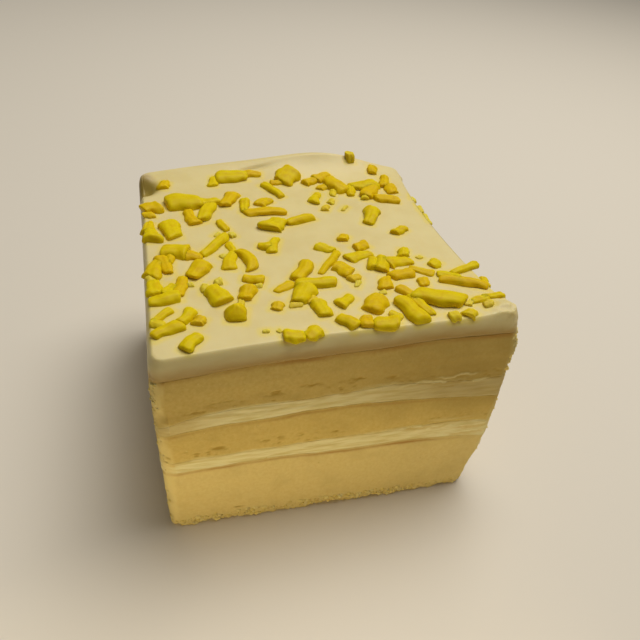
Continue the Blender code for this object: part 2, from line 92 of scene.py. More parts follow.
DRIFTS = {
    "back left": (
        (-31.3, 28.9, 3.8, 2.4, 70), (-35.3, 16.8, 4.8, 3.4, 10), (-27.2, 18.2, 9.0, 4.8, -4),
        (-20.9, 18.4, 5.4, 2.8, 4), (-25.9, 11.2, 7.0, 2.4, -78), (-22.2, 13.0, 8.5, 2.4, 68),
        (-36.3, 7.0, 5.0, 2.2, 85), (-35.9, 2.8, 5.0, 3.0, 98), (-31.5, 5.2, 7.5, 3.6, 100),
    ),
    "left": (
        (-19.0, 6.4, 5.0, 1.6, -72), (-22.2, -2.2, 11.0, 2.0, 52), (-31.2, -4.8, 6.0, 4.2, -12),
        (-27.4, -6.8, 4.2, 2.4, -22), (-27.0, -12.6, 6.8, 3.2, 58), (-36.0, -11.4, 6.0, 2.8, 72),
        (-33.8, -9.8, 6.6, 2.3, -80), (-36.4, -18.0, 5.0, 2.6, 92), (-34.8, -22.4, 6.6, 2.6, 14),
        (-33.4, -19.0, 4.4, 2.2, 62), (-31.4, -18.0, 7.2, 2.2, 72),
    ),
    "front left": (
        (-35.6, -27.6, 5.6, 1.5, 45), (-35.0, -32.4, 6.4, 2.1, 27), (-31.1, -28.4, 5.2, 2.2, 56),
        (-28.8, -30.2, 2.6, 2.2, 60), (-30.8, -36.2, 5.0, 2.2, 48), (-24.0, -22.2, 6.0, 3.4, -68),
        (-21.2, -29.0, 5.2, 3.8, 76), (-17.9, -22.4, 4.6, 2.8, 70), (-19.3, -9.2, 7.4, 2.3, 74),
        (-18.5, -3.4, 4.4, 1.6, -78), (-16.6, -9.6, 8.4, 2.3, -76), (-15.8, -17.2, 4.8, 2.1, -14),
        (-12.7, -27.6, 2.6, 2.2, 66), (-11.4, -37.2, 4.4, 2.5, -14), (-7.6, -37.0, 4.0, 2.4, 36),
    ),
    "back": (
        (-13.2, 31.7, 8.8, 3.2, 2), (-7.2, 33.0, 5.0, 2.0, -12), (-18.2, 30.2, 5.2, 2.0, 78),
        (2.2, 30.5, 6.4, 4.6, 48), (-3.3, 24.2, 8.6, 1.9, -62), (-15.5, 19.2, 7.6, 2.8, 64),
        (-12.2, 15.6, 6.4, 1.9, 80), (-7.8, 12.2, 10.6, 2.5, 2), (-6.9, 17.4, 4.6, 2.4, 38),
        (-6.6, 5.2, 5.6, 4.0, 46), (0.5, 7.4, 8.2, 2.2, 20), (-10.7, -3.9, 3.4, 2.0, -16),
        (-8.5, -3.8, 6.4, 1.9, 70),
    ),
    "back right": (
        (8.0, 28.2, 4.2, 2.2, 26), (12.2, 30.0, 5.4, 2.4, 28), (10.8, 25.0, 3.2, 2.0, 30),
        (15.0, 25.0, 7.6, 3.4, -62), (7.6, 19.2, 6.2, 2.2, 62), (18.2, 22.2, 6.2, 2.0, 76),
        (22.8, 25.0, 8.4, 3.4, 6), (23.0, 20.8, 7.0, 3.2, 56), (29.6, 27.0, 6.4, 2.3, 70),
        (30.0, 22.4, 5.0, 2.8, 84), (26.6, 16.4, 6.8, 2.6, -14), (28.2, 33.4, 3.8, 2.2, 68),
        (11.2, 16.9, 2.8, 1.6, 60), (8.8, 13.4, 2.8, 1.7, 60), (19.0, 7.4, 7.8, 2.8, 62),
        (24.3, -0.2, 4.4, 2.1, 32),
    ),
    "right edge": (
        (35.1, 18.0, 3.0, 1.4, 72), (34.8, 11.8, 4.0, 1.5, 82), (34.6, 6.2, 5.2, 1.4, 88),
    ),
    "middle": (
        (9.0, -2.3, 3.2, 2.1, 60), (3.2, -6.6, 4.4, 2.5, -40), (2.4, -12.6, 10.6, 1.5, 52),
        (4.8, -15.8, 5.0, 3.2, -58), (10.2, -10.8, 7.0, 2.4, 20), (12.0, -6.7, 4.4, 2.5, 30),
        (6.2, -19.4, 3.2, 1.7, 20), (12.3, -14.4, 5.0, 2.2, 70), (-4.8, -15.4, 7.8, 2.7, 55),
        (-9.9, -20.9, 5.2, 1.8, 32), (-2.8, -20.6, 9.4, 2.6, 0), (-6.9, -24.2, 6.6, 3.4, 60),
        (-4.0, -29.6, 5.2, 2.7, -82), (1.9, -27.4, 5.0, 2.3, 38), (0.2, -34.6, 4.8, 2.5, -48),
    ),
    "front right": (
        (14.4, -14.6, 6.4, 2.6, 68), (18.6, -14.2, 6.8, 3.0, 8), (21.6, -10.2, 4.0, 2.2, 66),
        (17.4, -19.4, 5.8, 2.8, 10), (23.0, -18.1, 6.0, 2.0, -32), (12.8, -22.2, 4.6, 2.3, 70),
        (27.4, -15.6, 3.4, 2.3, 42), (21.6, -22.8, 3.2, 2.1, 78), (28.4, -21.8, 6.2, 2.5, -40),
        (30.8, -24.3, 11.0, 2.2, -24), (33.6, -18.6, 8.6, 1.6, 20), (36.2, -24.0, 3.8, 1.9, 80),
        (22.4, -29.4, 11.4, 3.7, -24), (17.8, -31.0, 7.6, 2.0, -72), (14.8, -32.6, 8.8, 2.9, -74),
        (16.6, -26.2, 5.4, 1.9, -50),
        (31.4, -31.0, 4.6, 1.9, 8), (34.8, -30.4, 5.4, 1.6, 4), (32.2, -33.2, 2.4, 1.7, 20),
        (7.8, -29.4, 6.0, 3.6, 50), (11.0, -33.6, 3.2, 1.7, -50), (4.2, -35.0, 3.6, 2.4, 80),
        (8.0, -35.9, 5.8, 2.7, 0), (23.2, -35.9, 2.5, 2.1, 0), (27.0, -35.6, 2.6, 2.2, 30),
    ),
    # The smallest bits, which the solids leave out.
    "small bits": (
        (-36.0, 13.5, 3.0, 2.0, 0), (-17.6, 1.9, 1.8, 1.6, 20), (-32.6, -7.6, 4.0, 1.6, 80),
        (-37.0, -15.0, 2.6, 1.6, 100), (-29.2, -17.5, 1.5, 1.2, 0), (-36.6, -30.2, 3.0, 1.8, -30),
        (-26.3, -19.5, 3.0, 1.5, 85), (-23.4, -17.4, 2.0, 1.6, 30), (-19.7, -25.2, 3.5, 1.3, 70),
        (-20.6, -7.0, 2.2, 1.2, 10), (-15.0, -19.6, 1.6, 1.2, 0), (-16.5, -35.0, 1.5, 0.9, 0),
        (-13.9, -35.3, 1.0, 0.9, 40), (-1.0, 28.4, 4.0, 1.8, 0), (13.0, 21.5, 3.4, 1.5, 70),
        (13.7, 12.7, 3.0, 1.0, 50), (21.3, 18.0, 3.0, 1.8, 60), (6.5, -21.5, 2.4, 1.1, 60),
        (-8.7, -27.5, 3.0, 1.4, 0), (-5.0, -26.6, 3.0, 1.6, 55), (11.0, -25.4, 1.8, 1.1, 10),
        (28.6, -31.8, 2.6, 1.3, 40), (-20.9, 2.7, 2.2, 1.0, 45), (24.8, -12.4, 1.6, 1.1, 20),
        (22.2, 37.2, 2.6, 2.0, 0),
    ),
}
SHAVING_THICKNESS = 0.72
THICKNESS_POWER = 0.6
SHAVING_SINK = 0.42
SHAVING_FULLNESS = 1.38
LONG_SHAVING = 7.4
SHAVING_ARCH = 0.3
SHAVING_BEND = 0.05
BENT_SHAVING = (-16.6, -9.6, 0.19)   # its place, and its bend as a share of its length

# ---- mesh density and fine relief, in millimetres ----

COLUMNS = 1200           # round the whole side
ROW_HEIGHT = 0.26
PERIMETER = 310.0        # length round the side, which scales the patterns on it
SIDE = PERIMETER / 4
CORNER_MIDDLE = 0.968    # of a side, where its rounded corner is at its middle
FRONT_MIDDLE = 35.8      # place along the side where x is 0
FAR_AWAY = 1000.0        # x of places that aren't on the front
DRAGGED = (60.0, 13.0)   # place along the side where the knife dragged the cream most, and its reach
SIDE_SWELL = 0.42
ICING_SWELL = 0.22
TOP_SHIFT = 60.0         # moves the patterns on the icing's top into one period of them
TOP_PERIOD = 240.0
BORDER_WAVER = {
    "lower_cream_floor": 0.20, "lower_cream_roof": 0.34, "upper_cream_floor": 0.20,
    "upper_cream_roof": 0.42, "icing_floor": 0.16,
}
SKINS = {   # brown line under a border: strength, depth below it, half width
    "icing_floor": (0.80, 0.30, 0.85), "upper_cream_floor": (0.55, 0.75, 0.55),
    "lower_cream_floor": (0.80, 0.75, 0.55),
}
TORN_ZONES = (      # torn lowest part of a sponge: the cream's roof below it, its reach and strength
    ("upper_cream_roof", 4.4, 0.85), ("lower_cream_roof", 3.2, 0.8),
)
FRONT_HOLLOWS = (   # torn hollows on the front: x, height, half length, half height
    (-24.5, 39.4, 4.0, 1.10), (-31.4, 38.2, 2.6, 0.90), (-14.7, 40.5, 3.6, 0.90),
    (-7.4, 41.2, 2.8, 0.70), (3.3, 41.2, 4.0, 0.80), (12.0, 40.6, 3.2, 0.70),
    (-4.3, 35.3, 0.9, 0.30), (-2.2, 34.4, 0.8, 0.26), (-32.7, 26.1, 1.6, 0.70),
    (-26.6, 26.4, 2.0, 0.75), (-15.4, 27.0, 3.4, 0.80), (-8.4, 27.3, 1.6, 0.70),
    (-5.0, 26.8, 1.4, 0.60), (0.0, 26.7, 2.0, 0.60), (24.8, 26.3, 3.6, 0.60),
    (31.0, 26.6, 2.4, 0.55), (-22.8, 4.3, 1.8, 0.50),
)
FRONT_RIDGES = (    # bright ridges of smeared cream: x, height, half length, half height, slope
    (21.6, 37.8, 6.6, 0.30, -0.06), (30.4, 36.9, 3.4, 0.30, 0.06), (15.0, 37.9, 3.6, 0.30, 0.12),
    (26.0, 38.9, 5.2, 0.28, 0.02), (19.4, 24.3, 7.6, 0.30, -0.02), (24.0, 23.2, 8.0, 0.28, -0.04),
)

# ---- colours ----


def paint(red, green, blue):
    """A colour of 0 to 255 a channel, as linear light."""
    return tuple(((c / 255 + 0.055) / 1.055) ** 2.4 for c in (red, green, blue))


TOP_SPONGE = paint(216, 188, 106)
TOP_SPONGE_DEEP = paint(202, 170, 86)
MIDDLE_SPONGE = paint(224, 196, 110)
MIDDLE_SPONGE_DEEP = paint(210, 178, 90)
BOTTOM_SPONGE = paint(229, 206, 132)
BOTTOM_SPONGE_DEEP = paint(219, 192, 114)
# Olive of the crumb. The olive mask also paints it as shade on the upper sponge.
SPONGE_OLIVE_AND_SHADE = paint(164, 136, 60)
# Painted shade in the sponge's pits and hollows.
PIT_SHADE = paint(160, 126, 20)
SKIN_BROWN = paint(170, 122, 46)
CREAM_LIGHT = paint(240, 226, 164)
CREAM_DARK = paint(218, 198, 122)
ICING_LIGHT = paint(218, 203, 146)
ICING_WARM = paint(213, 196, 136)
ICING_STAIN = paint(226, 204, 76)
# Brown of sponge dragged up the icing's cut side, and painted shade there.
ICING_DRAGGED_AND_SHADE = paint(172, 134, 46)
# Painted shade in the dent at the back left corner.
ICING_DENT_SHADE = paint(146, 124, 34)
ICING_GREY = paint(190, 170, 132)
SHAVING_LEMON = paint(216, 194, 0)
SHAVING_GOLD = paint(216, 182, 0)
SHAVING_OCHRE = paint(198, 152, 0)
SHAVING_PALE = paint(218, 206, 92)
# Pale crumb. On the upright edges it is also painted light on the rounded corners.
CRUMB_PALE_AND_LIGHT = paint(234, 212, 136)
FLOOR_COLOUR = paint(216, 210, 200)


# ---- patterns on arrays ----

def value_noise(u, v, cells_u, cells_v, seed):
    """Smooth noise between -1 and 1, in lattice cells: random values at the lattice's corners,
    blended by the fade 6t^5 - 15t^4 + 10t^3, and repeating every cells_u and cells_v."""
    table = np.random.default_rng(seed).uniform(-1.0, 1.0, (cells_u, cells_v))
    left = np.floor(u).astype(int)
    low = np.floor(v).astype(int)
    along = u - left
    up = v - low
    along = along**3 * (along * (along * 6.0 - 15.0) + 10.0)
    up = up**3 * (up * (up * 6.0 - 15.0) + 10.0)
    l0, l1 = left % cells_u, (left + 1) % cells_u
    v0, v1 = low % cells_v, (low + 1) % cells_v
    bottom = table[l0, v0] * (1 - along) + table[l1, v0] * along
    top = table[l0, v1] * (1 - along) + table[l1, v1] * along
    return bottom * (1 - up) + top * up


def grain(u, v, size_u, size_v, seed, octaves=3, period=PERIMETER):
    """Fractal noise between about -1 and 1 over millimetres: each octave of value noise has half the
    size and half the strength of the one before. It repeats along u after the period."""
    total = 0.0
    strength = 1.0
    for octave in range(octaves):
        cells = max(int(round(period / size_u)), 1)
        total = total + strength * value_noise(u * cells / period, v / size_v, cells, 97, seed + octave)
        strength *= 0.5
        size_u, size_v = size_u * 0.5, size_v * 0.5
    return total / (2.0 - 2.0 * strength)


def edge_grain(around, size, seed, octaves):
    """Fractal noise that changes only along the side."""
    return grain(around, 0.0 * around, size, size, seed, octaves)


def top_grain(x, y, size_x, size_y, seed, octaves):
    """Fractal noise over the icing's top."""
    return grain(x + TOP_SHIFT, y + TOP_SHIFT, size_x, size_y, seed, octaves, TOP_PERIOD)


def pits(u, v, size, share, seed, stretch=1.0):
    """Depth between 0 and 1 of oval hollows: a share of the lattice's cells hold one each, at a
    random place with a random radius r, and a point takes the deepest 1 - (d / r)^2 that reaches it."""
    draw = np.random.default_rng(seed)
    cells = int(round(PERIMETER / (size * stretch)))
    rows = 97
    place_u = draw.uniform(0.2, 0.8, (cells, rows))
    place_v = draw.uniform(0.2, 0.8, (cells, rows))
    radius = draw.uniform(0.22, 0.62, (cells, rows))
    depth = draw.uniform(0.4, 1.0, (cells, rows)) * (draw.uniform(0, 1, (cells, rows)) < share)
    x, y = u * cells / PERIMETER, v / size
    i, j = np.floor(x).astype(int), np.floor(y).astype(int)
    deepest = 0.0
    for step_i in (-1, 0, 1):
        for step_j in (-1, 0, 1):
            ci, cj = (i + step_i) % cells, (j + step_j) % rows
            du = x - (i + step_i) - place_u[ci, cj]
            dv = y - (j + step_j) - place_v[ci, cj]
            hollow = 1.0 - (du**2 + dv**2) / radius[ci, cj] ** 2
            deepest = np.maximum(deepest, depth[ci, cj] * hollow)
    return deepest


def smooth(low, high, value):
    """0 below low, 1 above high, and 3t^2 - 2t^3 between."""
    t = np.clip((value - low) / (high - low), 0.0, 1.0)
    return t * t * (3.0 - 2.0 * t)


def near(x, y, spot):
    """Closeness to a round spot of an x, y and reach: exp(-(distance / reach)^2)."""
    return np.exp(-((x - spot[0]) ** 2 + (y - spot[1]) ** 2) / spot[2] ** 2)


def oval(x, y, middle_x, middle_y, reach_x, reach_y):
    """Closeness to an oval: exp(-(dx / reach_x)^2 - (dy / reach_y)^2)."""
    return np.exp(-(((x - middle_x) / reach_x) ** 2) - ((y - middle_y) / reach_y) ** 2)


# ---- the piece's form on arrays ----

def rounded_square(count):
    """Points at equal steps round a rounded square from -1 to 1, anticlockwise from its front left
    corner, and the outward direction at each: a straight run, then a quarter circle, four times."""
    radius = CORNER_ROUNDING
    straight = 2.0 * (1.0 - radius)
    side = straight + 0.5 * math.pi * radius
    place = np.arange(count) / count * 4.0
    turn = np.floor(place)
    step = (place - turn) * side
    angle = np.clip((step - straight) / radius, 0.0, None) - 0.5 * math.pi
    x = np.minimum(step, straight) - (1.0 - radius) + radius * np.cos(angle)
    y = -(1.0 - radius) + radius * np.sin(angle)
    cos, sin = np.cos(turn * 0.5 * math.pi), np.sin(turn * 0.5 * math.pi)
    points = np.stack([x * cos - y * sin, x * sin + y * cos], axis=1)
    outward = np.stack([np.cos(angle) * cos - np.sin(angle) * sin,
                        np.cos(angle) * sin + np.sin(angle) * cos], axis=1)
    return points, outward


def outline(unit, height):
    """Place unit square points at a height: blend the four leaning corners, then bow each side."""
    a, b = unit[..., 0], unit[..., 1]
    weights = ((1 - a) * (1 - b), (1 + a) * (1 - b), (1 + a) * (1 + b), (1 - a) * (1 + b))
    x = y = 0.0
    for weight, corner in zip(weights, CORNERS):
        corner_x, corner_y = zip(*corner)
        x = x + weight * np.interp(height, CORNER_HEIGHTS, corner_x) / 4
        y = y + weight * np.interp(height, CORNER_HEIGHTS, corner_y) / 4
    front, right, back, left = (np.interp(height, BOW_HEIGHTS, bow) for bow in SIDE_BOWS)
    x = x + (1 - b**2) * (right * np.clip(a, 0, 1) ** 2 - left * np.clip(-a, 0, 1) ** 2)
    y = y + (1 - a**2) * (back * np.clip(b, 0, 1) ** 2 - front * np.clip(-b, 0, 1) ** 2)
    return x, y


def waves(x, y, phase):
    """Slow waves between -1 and 1 over the plan: 0.65 of a sine along x times a cosine along y, and
    0.35 of a sine along the diagonal."""
    along, across = WAVE_LENGTHS
    first = np.sin(2 * np.pi * x / along + phase) * np.cos(2 * np.pi * y / across + 1.7 * phase)
    second = np.sin(2 * np.pi * (x + y) / (0.6 * across) + 2.3 * phase)
    return 0.65 * first + 0.35 * second


def level(name, x, y):
    """Height of the surface between two layers, as in the solids: a plane that slopes along x and y,
    less a sag with x^2 and a drop with the sixth power of x / REACH to each side, plus slow waves."""
    middle, rise_x, rise_y, sag, left_drop, right_drop, swing = LEVELS[name]
    phase = 1.9 * list(LEVELS).index(name)
    drop = left_drop * np.clip(-x / REACH, 0.0, 1.0) ** EDGE_DROP_POWER
    drop += right_drop * np.clip(x / REACH, 0.0, 1.0) ** EDGE_DROP_POWER
    return middle + rise_x * x + rise_y * y - sag * x**2 - drop + swing * waves(x, y, phase)


def from_dent(x, y):
    """Distance from the dent's middle as a share of its reach. Left of the middle only y counts."""
    return np.hypot(np.maximum(x - DENT[0], 0.0), y - DENT[1]) / DENT[2]


def icing_top(x, y):
    """Height of the icing's top: ripples, a rise of 1 - (x / REACH)^2 and a bell-shaped lump that grow
    with the cube of the way into the back strip, less the dent exp(-share^3.2), plus the round blob."""
    back = np.clip((y - BACK_STRIP[0]) / BACK_STRIP[1], 0.0, 1.0) ** 3
    lump_x, lump_reach, lump_height = BACK_LUMP
    lump = lump_height * np.exp(-(((x - lump_x) / lump_reach) ** 2))
    rise = BACK_RISE * np.clip(1.0 - (x / REACH) ** 2, 0.0, 1.0)
    dent = DENT[3] * np.exp(-(from_dent(x, y) ** 3.2))
    blob = BLOB[3] * near(x, y, BLOB)
    return HEIGHT + RIPPLE * waves(x, y, 0.8) + back * (lump + rise) - dent + blob


# ---- meshes ----

def stacked(x, y, z):
    """Points from arrays of their x, y and z."""
    return np.stack([x, y, z], axis=-1)


def inward(place, outward, distance):
    """x and y moved by a distance against each point's outward direction."""
    return place[0] - outward[:, 0] * distance, place[1] - outward[:, 1] * distance


def mesh_piece(name, points, faces, material, masks):
    """A piece from points in millimetres and triangles, kept inside the solids' box, with each mask as
    a named number at every point."""
    placed = (points - np.array([PLAN_MIDDLE[0], PLAN_MIDDLE[1], 0.0])) * MM
    placed = np.clip(placed, np.array(CAD_BOX[0]), np.array(CAD_BOX[1]))
    mesh = bpy.data.meshes.new(name)
    mesh.vertices.add(len(placed))
    mesh.vertices.foreach_set("co", placed.astype(np.float32).ravel())
    mesh.loops.add(faces.size)
    mesh.loops.foreach_set("vertex_index", faces.astype(np.int32).ravel())
    mesh.polygons.add(len(faces))
    mesh.polygons.foreach_set("loop_start", np.arange(0, faces.size, 3, dtype=np.int32))
    mesh.update(calc_edges=True)
    for key, values in masks.items():
        attribute = mesh.attributes.new(key, "FLOAT", "POINT")
        attribute.data.foreach_set("value", values.astype(np.float32).ravel())
    mesh.validate()
    mesh.shade_smooth()
    mesh.materials.append(material)
    piece = bpy.data.objects.new(name, mesh)
    bpy.context.scene.collection.objects.link(piece)
    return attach(piece, "root")


def ring_faces(rows, columns):
    """Triangles between rows of points that each run round once, facing outwards from bottom to
    top, closed by a pole at the foot and a pole at the head."""
    row, column = np.meshgrid(np.arange(rows - 1), np.arange(columns), indexing="ij")
    following = (column + 1) % columns
    a, b = row * columns + column, row * columns + following
    c, d = b + columns, a + columns
    walls = np.stack([np.stack([a, b, c], -1), np.stack([a, c, d], -1)], 2).reshape(-1, 3)
    foot, head = rows * columns, rows * columns + 1
    around = np.arange(columns)
    after = (around + 1) % columns
    last = (rows - 1) * columns
    feet = np.stack([np.full(columns, foot), after, around], -1)
    heads = np.stack([np.full(columns, head), last + around, last + after], -1)
    return np.concatenate([walls, feet, heads])


def ring_piece(name, rings, material, masks):
    """One piece from closed bars: rings is bars by rows by columns by 3, and each bar gets a pole in
    the middle of its first and last ring, with the mean of that ring's masks."""
    bars, rows, columns = rings.shape[:3]
    poles = np.stack([rings[:, 0].mean(1), rings[:, -1].mean(1)], 1)
    points = np.concatenate([rings.reshape(bars, -1, 3), poles], 1).reshape(-1, 3)
    first = np.arange(bars) * (rows * columns + 2)
    faces = (ring_faces(rows, columns)[None] + first[:, None, None]).reshape(-1, 3)
    full = {}
    for key, values in masks.items():
        values = np.broadcast_to(values, rings.shape[:3])
        full[key] = np.concatenate([values.reshape(bars, -1), values[:, [0, -1]].mean(2)], 1)
    return mesh_piece(name, points, faces, material, full)


# ---- the cut sides ----

def border(name, x, y, around):
    """A border between two layers, with a fine waver along the cut side."""
    seed = 300 + 10 * list(LEVELS).index(name)
    return level(name, x, y) + BORDER_WAVER[name] * edge_grain(around, 5.5, seed, 4)


def side_borders(around):
    """Every border's height at places along the side."""
    unit, _ = rounded_square(COLUMNS)
    x, y = outline(unit, HEIGHT / 2)
    full = np.arange(COLUMNS + 1) / COLUMNS * PERIMETER
    heights = {name: border(name, x, y, full[:-1]) for name in LEVELS}
    return {name: np.interp(around % PERIMETER, full, np.append(h, h[0])) for name, h in heights.items()}


def messy(around):
    """How far the knife dragged the cream about: most near the right end of the front, and in slow
    patches round the other sides."""
    front_right = np.exp(-(((around - DRAGGED[0]) / DRAGGED[1]) ** 2))
    others = smooth(76.0, 84.0, around) * smooth(-0.1, 0.5, edge_grain(around, 38.0, 205, 1))
    return np.clip(0.25 + 0.75 * np.maximum(front_right, others), 0.0, 1.0)


def front_x(around):
    """x in millimetres along the front, and far away on the other sides."""
    return np.where(around < SIDE, around - FRONT_MIDDLE, FAR_AWAY)


def cream_share(around, height, borders):
    """Cream on the cut side, 0 to 1: full between a cream's torn borders, thinned by streaks, and
    smeared above them where the knife dragged it."""
    drag = grain(around, height, 10.0, 0.75, 215, 3)
    mess = messy(around)
    share = 0.0
    for low, high, seed in (("lower_cream_floor", "lower_cream_roof", 221),
                            ("upper_cream_floor", "upper_cream_roof", 231)):
        torn = grain(around, height, 4.5, 1.3, seed, 4)
        above_floor = height - borders[low] + 0.25 * torn
        below_roof = borders[high] - height + (0.6 + 0.9 * mess) * torn
        band = smooth(-0.35, 0.35, above_floor) * smooth(-0.75, 0.75, below_roof)
        band = band * (1.0 - 0.75 * mess * smooth(0.05, 0.6, drag))
        if low == "upper_cream_floor":
            band = band * (1.0 - 0.55 * (1.0 - smooth(1.0, 13.0, around + 2.0 * torn)))
        past = np.clip(height - borders[high], 0.0, None)
        smear = np.exp(-past / 1.6) * smooth(0.1, 0.5, drag) * (height > borders[high]) * mess
        share = np.maximum(share, np.maximum(band, 0.7 * smear))
    return np.maximum(share, 0.95 * ridge_share(around, height))


def ridge_share(around, height):
    """The torn ridges of smeared cream on the front, 0 to 1, as broken lines that wander up and down."""
    x = front_x(around)
    wander = 0.6 * edge_grain(around, 2.6, 217, 3)
    share = 0.0
    for ridge_x, ridge_z, half_length, half_height, slope in FRONT_RIDGES:
        off = (height - ridge_z - slope * (x - ridge_x) + wander) / (1.35 * half_height)
        share = np.maximum(share, np.exp(-(((x - ridge_x) / half_length) ** 4) - off**2))
    return share * smooth(-0.7, 0.3, grain(around, height, 2.4, 0.9, 219, 3))


def skin_share(around, height, borders):
    """The browned skin left on the tops of the sponges, 0 to 1, as a soft patchy line."""
    share = 0.0
    for name, (strength, depth, half) in SKINS.items():
        patchy = 0.75 + 0.45 * grain(around, height, 9.0, 3.0, 241, 3)
        if name == "icing_floor":
            patchy = patchy * (0.55 + 0.45 * smooth(2.0, 26.0, around))
        else:
            patchy = patchy * (1.0 - 0.7 * smooth(52.0, 70.0, around) * (around < SIDE))
        line = np.exp(-(((borders[name] - height - depth) / half) ** 2))
        share = np.maximum(share, strength * patchy * line)
    return np.clip(share, 0.0, 1.0)


def pit_share(around, height, borders):
    """Pits in the sponge, 0 to 1: long torn hollows in the lowest part of the upper two sponges, a
    pitted foot, a few small pores, and the hollows seen on the front. Their darker colour is painted shade."""
    torn = smooth(-0.3, 0.3, grain(around, height, 7.0, 2.2, 251, 3))
    patches = smooth(-0.2, 0.6, grain(around, height, 11.0, 5.0, 262, 2))
    total = 0.22 * pits(around, height, 0.9, 0.35, 261) * patches
    hollows = pits(around, height + 1.2 * edge_grain(around, 5.0, 273, 2), 1.1, 0.7, 271, 1.8)
    for roof, reach, strength in TORN_ZONES:
        up = height - borders[roof]
        zone = smooth(0.0, 0.7, up) * (1.0 - smooth(0.5 * reach, reach, up))
        total = np.maximum(total, strength * zone * torn * hollows)
    foot = 1.0 - smooth(1.8, 3.8, height + 0.9 * grain(around, height, 4.0, 3.0, 281, 3))
    total = np.maximum(total, 0.75 * foot * pits(around, height, 1.0, 0.85, 291, 1.2))
    x = front_x(around)
    ragged = smooth(-0.5, 0.45, grain(around, height, 1.9, 0.7, 253, 3))
    for place in FRONT_HOLLOWS:
        total = np.maximum(total, 0.95 * ragged * oval(x, height, *place))
    return np.clip(total, 0.0, 1.0)


def corner_share(around, height):
    """The upright edges, where the layers are smeared together, 0 to 1 with a ragged border. The paler
    colour painted there is partly the smear and partly painted light on the rounded edges.
    """
    place = around / SIDE - CORNER_MIDDLE
    away = np.abs(place - np.round(place)) * SIDE
    return 1.0 - smooth(0.8, 2.6, away + 0.9 * grain(around, height, 1.8, 5.0, 71, 3))


def side_shares(around, height):
    """All the shares that colour and shape the cut sides."""
    borders = side_borders(around)
    corner = corner_share(around, height)
    cream = cream_share(around, height, borders) * (1.0 - 0.5 * corner)
    pit = pit_share(around, height, borders) * (1.0 - 0.8 * cream)
    skin = skin_share(around, height, borders) * (1.0 - 0.5 * corner) * (1.0 - cream)
    # Olive just above the upper cream, more where the knife dragged: partly the crumb's own tone, partly
    # painted shade.
    near_upper = np.exp(-(((height - borders["upper_cream_roof"] - 0.5) / 3.4) ** 2))
    olive_and_shade = near_upper * (0.25 + 0.6 * messy(around)) * (0.8 + 0.5 * grain(around, height, 5.0, 1.6, 81, 3))
    # Darker olive from the front's right part round the back, mostly high up: painted shade, partly the
    # crumb's own olive.
    olive_and_shade_right = smooth(8.0, 66.0, around) * (1.0 - smooth(PERIMETER - 30.0, PERIMETER, around))
    olive_and_shade_right = 0.8 * olive_and_shade_right * (0.3 + 0.7 * smooth(-9.5, 1.0, height - borders["upper_cream_floor"]))
    olive_and_shade = np.maximum(olive_and_shade, olive_and_shade_right * (0.9 + 0.3 * grain(around, height, 9.0, 4.0, 83, 3)))
    return {"cream": cream, "pit": pit, "skin": skin, "corner": corner, "olive_and_shade": np.clip(olive_and_shade, 0.0, 1.0),
            "ridge": ridge_share(around, height)}


def side_hollow(around, height, shares):
    """How far the cut side lies inside the outline: slow swells, the crumb's grain and pits, the
    cream's streaks, and a foot that is worn back in places."""
    swell = SIDE_SWELL * (0.55 + 0.5 * grain(around, height, 26.0, 18.0, 111, 3))
    crumb = 0.03 * grain(around, height, 0.9, 0.9, 121, 2) + 0.07 * grain(around, height, 2.6, 1.8, 131, 2)
    streaks = 0.13 * grain(around, height, 9.0, 0.8, 215, 3) - 0.10
    worn = smooth(-0.2, 0.6, edge_grain(around, 3.0, 141, 3))
    foot_zone = 1.0 - smooth(0.0, 1.9, height)
    foot = foot_zone * (0.45 * worn + 0.3 * grain(around, height, 1.6, 1.4, 151, 2))
    foot = foot + 0.15 * (1.0 - smooth(0.0, 0.5, height))
    ragged = shares["corner"] * 0.35 * smooth(-0.4, 0.8, grain(around, height, 3.4, 3.2, 161, 2))
    cream = shares["cream"]
    hollow = swell + crumb * (1.0 - cream) + streaks * cream + 0.15 * shares["pit"] + foot + ragged
    hollow = hollow - 0.22 * shares["ridge"]
    return np.clip(hollow, -0.02, None)


def layer(name, node, floor_name, roof_name, material):
    """A layer between two borders. Its side is the outline moved inwards by the side's hollow, and
    its floor and roof run in to the middle."""
    unit, outward = rounded_square(COLUMNS)
    around = np.arange(COLUMNS) / COLUMNS * PERIMETER
    x, y = outline(unit, HEIGHT / 2)
    low = border(floor_name, x, y, around) if floor_name else 0.0 * x
    high = border(roof_name, x, y, around)
    count = int(round((high - low).mean() / ROW_HEIGHT)) + 1
    height = low + (high - low) * np.linspace(0.0, 1.0, count)[:, None]
    around = np.broadcast_to(around, height.shape)
    shares = side_shares(around, height)
    hollow = side_hollow(around, height, shares)
    rings = stacked(*inward(outline(unit[None], height), outward, hollow), height)
    caps = []
    for share in (0.6, 0.96):
        for end, border_name in ((0, floor_name), (-1, roof_name)):
            cap_x, cap_y = outline(unit * share, height[end])
            cap_z = border(border_name, cap_x, cap_y, around[end]) if border_name else 0.0 * cap_x
            caps.append(stacked(cap_x, cap_y, cap_z))
    rings = np.concatenate([[caps[0], caps[2]], rings, [caps[3], caps[1]]])
    still = np.zeros((2, COLUMNS))
    masks = {key: np.concatenate([still, value, still]) for key, value in shares.items()}
    piece = ring_piece(name, rings[None], material, masks)
    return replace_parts(piece, node)


def make_layers(bottom, middle, top, lower_cream, upper_cream):
    """The three sponges and the two creams between them."""
    layer("sponge_bottom_crumb", "sponge_bottom", None, "lower_cream_floor", bottom)
    layer("cream_lower_fill", "cream_lower", "lower_cream_floor", "lower_cream_roof", lower_cream)
    layer("sponge_middle_crumb", "sponge_middle", "lower_cream_roof", "upper_cream_floor", middle)
    layer("cream_upper_fill", "cream_upper", "upper_cream_floor", "upper_cream_roof", upper_cream)
    layer("sponge_top_crumb", "sponge_top", "upper_cream_roof", "icing_floor", top)


# ---- the icing ----

